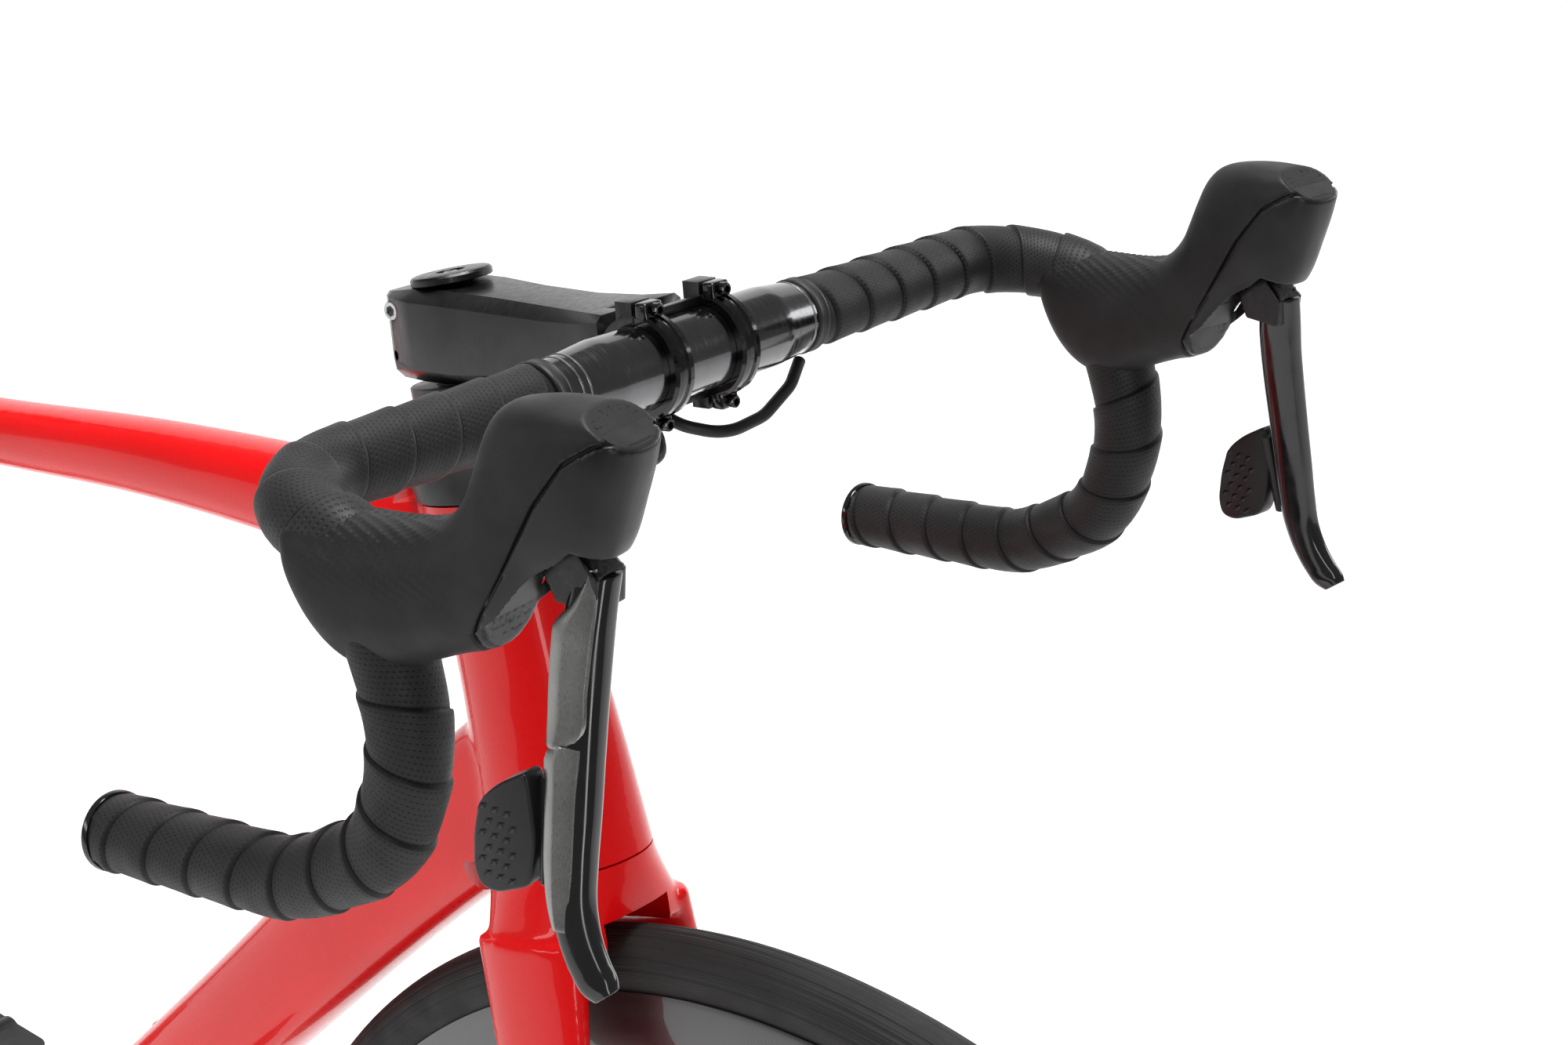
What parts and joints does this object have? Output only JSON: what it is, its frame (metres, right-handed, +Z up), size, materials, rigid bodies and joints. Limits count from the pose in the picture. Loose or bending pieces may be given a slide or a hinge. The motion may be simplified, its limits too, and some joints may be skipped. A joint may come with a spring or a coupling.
{
  "type": "racing bicycle",
  "caption": "Single-rider racing bicycle with drop bars, electronic-shift levers, disc brakes, deep rims, a carbon frame and a narrow saddle.",
  "frame": {"origin": "on the ground, halfway between the axles", "axes": "+X forward, +Y to the rider's left, +Z up"},
  "size_m": [1.661, 0.4512, 0.9802],
  "materials": {
    "frame_paint": "gloss",
    "bearing_steel": "satin",
    "black_alloy": "satin",
    "steel": "satin",
    "pad_metal": "matte",
    "gloss_carbon": "gloss",
    "black_plastic": "satin",
    "black_rubber": "matte",
    "bar_tape": "matte",
    "saddle_skin": "matte",
    "tyre": "matte"
  },
  "bodies": {
    "frame": {"frame": "frame_paint", "headset_bearings": "bearing_steel", "seat_clamp": "black_alloy", "bb_bearings": "bearing_steel", "rear_axle": "black_alloy", "rear_caliper": "black_alloy", "fd_body": "black_plastic", "rd_body": "black_plastic", "chain": "steel"},
    "saddle_post": {"seatpost": "gloss_carbon", "saddle_clamp": "black_alloy", "saddle_rails": "steel", "saddle_shell": "gloss_carbon", "saddle_cover": "saddle_skin"},
    "fd_cage_body": {"fd_cage": "black_alloy"},
    "rd_link_body": {"rd_link": "black_alloy"},
    "rd_knuckle_body": {"rd_knuckle": "black_alloy"},
    "rd_cage_body": {"rd_cage": "black_alloy"},
    "guide_pulley_body": {"rd_guide_pulley": "black_plastic"},
    "tension_pulley_body": {"rd_tension_pulley": "black_plastic"},
    "steering": {"fork": "frame_paint", "front_axle": "black_alloy", "front_caliper": "black_alloy", "headset_cover": "black_alloy", "stem": "black_alloy", "stem_faceplates": "black_alloy", "stem_hardware": "black_alloy", "handlebar": "gloss_carbon", "left_bar_tape": "bar_tape", "right_bar_tape": "bar_tape", "bar_tape_trim": "black_plastic", "left_lever_body": "black_plastic", "right_lever_body": "black_plastic", "left_hood": "black_rubber", "right_hood": "black_rubber", "brake_hoses": "black_rubber"},
    "front_wheel": {"front_rim": "gloss_carbon", "front_tyre": "tyre", "front_spokes": "steel", "front_hub": "black_alloy", "front_rotor": "steel"},
    "rear_wheel": {"rear_rim": "gloss_carbon", "rear_tyre": "tyre", "rear_spokes": "steel", "rear_hub": "black_alloy", "rear_rotor": "steel"},
    "cassette_body": {"cassette": "steel"},
    "crankset": {"right_crank": "gloss_carbon", "chainrings": "black_alloy", "left_crank": "gloss_carbon"},
    "right_pedal_body": {"right_pedal": "black_plastic"},
    "left_pedal_body": {"left_pedal": "black_plastic"},
    "left_lever": {"left_brake_lever": "gloss_carbon"},
    "left_paddle": {"left_shift_paddle": "black_plastic"},
    "front_pad_left_body": {"front_pad_left": "pad_metal"},
    "rear_pad_left_body": {"rear_pad_left": "pad_metal"},
    "right_lever": {"right_brake_lever": "gloss_carbon"},
    "right_paddle": {"right_shift_paddle": "black_plastic"},
    "front_pad_right_body": {"front_pad_right": "pad_metal"},
    "rear_pad_right_body": {"rear_pad_right": "pad_metal"}
  },
  "joints": [
    {"name": "saddle_height", "type": "slide", "parent": "frame", "child": "saddle_post", "axis": [-0.284, 0, 0.9588], "range_m": [-0.055, 0.04]},
    {"name": "front_mech_swing", "type": "hinge", "parent": "frame", "child": "fd_cage_body", "pos_m": [-0.13055, -0.0336, 0.42], "axis": [1, 0, 0], "range_deg": [0, 10]},
    {"name": "rear_mech_link", "type": "hinge", "parent": "frame", "child": "rd_link_body", "pos_m": [-0.5065, -0.093, 0.296], "axis": [1, 0, 0], "range_deg": [-20, 20]},
    {"name": "rear_mech_knuckle", "type": "hinge", "parent": "rd_link_body", "child": "rd_knuckle_body", "pos_m": [-0.5065, -0.077, 0.264], "axis": [1, 0, 0], "range_deg": [-20, 20]},
    {"name": "rear_mech_cage", "type": "hinge", "parent": "rd_knuckle_body", "child": "rd_cage_body", "pos_m": [-0.4825, 0, 0.248], "axis": [0, 1, 0], "range_deg": [-20, 25], "stiffness_Nm_per_rad": 0.6},
    {"name": "guide_pulley_spin", "type": "hinge", "parent": "rd_cage_body", "child": "guide_pulley_body", "pos_m": [-0.4825, 0, 0.248], "axis": [0, 1, 0], "continuous": true},
    {"name": "tension_pulley_spin", "type": "hinge", "parent": "rd_cage_body", "child": "tension_pulley_body", "pos_m": [-0.4765, 0, 0.192], "axis": [0, 1, 0], "continuous": true},
    {"name": "steering_turn", "type": "hinge", "parent": "frame", "child": "steering", "pos_m": [0.34396, 0, 0.68105], "axis": [-0.2857, 0, 0.9583], "range_deg": [-60, 60]},
    {"name": "front_wheel_spin", "type": "hinge", "parent": "steering", "child": "front_wheel", "pos_m": [0.4905, 0, 0.34], "axis": [0, 1, 0], "continuous": true},
    {"name": "rear_wheel_spin", "type": "hinge", "parent": "frame", "child": "rear_wheel", "pos_m": [-0.4905, 0, 0.34], "axis": [0, 1, 0], "continuous": true},
    {"name": "crank_spin", "type": "hinge", "parent": "frame", "child": "crankset", "pos_m": [-0.08855, 0, 0.27], "axis": [0, 1, 0], "continuous": true, "deforming": ["chain"]},
    {"name": "cassette_spin", "type": "hinge", "parent": "frame", "child": "cassette_body", "pos_m": [-0.4905, 0, 0.34], "axis": [0, 1, 0], "continuous": true},
    {"name": "right_pedal_spin", "type": "hinge", "parent": "crankset", "child": "right_pedal_body", "pos_m": [0.08395, -0.103, 0.27], "axis": [0, 1, 0], "continuous": true},
    {"name": "left_pedal_spin", "type": "hinge", "parent": "crankset", "child": "left_pedal_body", "pos_m": [-0.26105, 0.103, 0.27], "axis": [0, 1, 0], "continuous": true},
    {"name": "left_lever_pull", "type": "hinge", "parent": "steering", "child": "left_lever", "pos_m": [0.52029, 0.19491, 0.93284], "axis": [0.1132, 0.9936, 0], "range_deg": [0, 10], "stiffness_Nm_per_rad": 0.5, "springref_deg": -20.05},
    {"name": "left_paddle_push", "type": "hinge", "parent": "left_lever", "child": "left_paddle", "pos_m": [0.5321, 0.21024, 0.84284], "axis": [-0.2135, -0.176, 0.961], "range_deg": [0, 8], "stiffness_Nm_per_rad": 0.15, "springref_deg": -20.05},
    {"name": "right_lever_pull", "type": "hinge", "parent": "steering", "child": "right_lever", "pos_m": [0.52029, -0.19491, 0.93284], "axis": [-0.1132, 0.9936, 0], "range_deg": [0, 10], "stiffness_Nm_per_rad": 0.5, "springref_deg": -20.05},
    {"name": "right_paddle_push", "type": "hinge", "parent": "right_lever", "child": "right_paddle", "pos_m": [0.5321, -0.21024, 0.84284], "axis": [0.2135, -0.176, -0.961], "range_deg": [0, 8], "stiffness_Nm_per_rad": 0.15, "springref_deg": -20.05},
    {"name": "front_pad_left_squeeze", "type": "slide", "parent": "steering", "child": "front_pad_left_body", "axis": [0, -1, 0], "range_m": [0, 0.0004]},
    {"name": "front_pad_right_squeeze", "type": "slide", "parent": "steering", "child": "front_pad_right_body", "axis": [0, 1, 0], "range_m": [0, 0.0004]},
    {"name": "rear_pad_left_squeeze", "type": "slide", "parent": "frame", "child": "rear_pad_left_body", "axis": [0, -1, 0], "range_m": [0, 0.0004]},
    {"name": "rear_pad_right_squeeze", "type": "slide", "parent": "frame", "child": "rear_pad_right_body", "axis": [0, 1, 0], "range_m": [0, 0.0004]}
  ],
  "couplings": [
    {"joint": "rear_mech_knuckle", "follows": "rear_mech_link", "ratio": -1},
    {"joint": "cassette_spin", "follows": "crank_spin", "ratio": 3.0588},
    {"joint": "guide_pulley_spin", "follows": "crank_spin", "ratio": -4.3333},
    {"joint": "tension_pulley_spin", "follows": "crank_spin", "ratio": 3.7143},
    {"joint": "front_pad_left_squeeze", "follows": "left_lever_pull", "m_per_rad": 0.00229},
    {"joint": "front_pad_right_squeeze", "follows": "left_lever_pull", "m_per_rad": 0.00229},
    {"joint": "rear_pad_left_squeeze", "follows": "right_lever_pull", "m_per_rad": 0.00229},
    {"joint": "rear_pad_right_squeeze", "follows": "right_lever_pull", "m_per_rad": 0.00229}
  ]
}
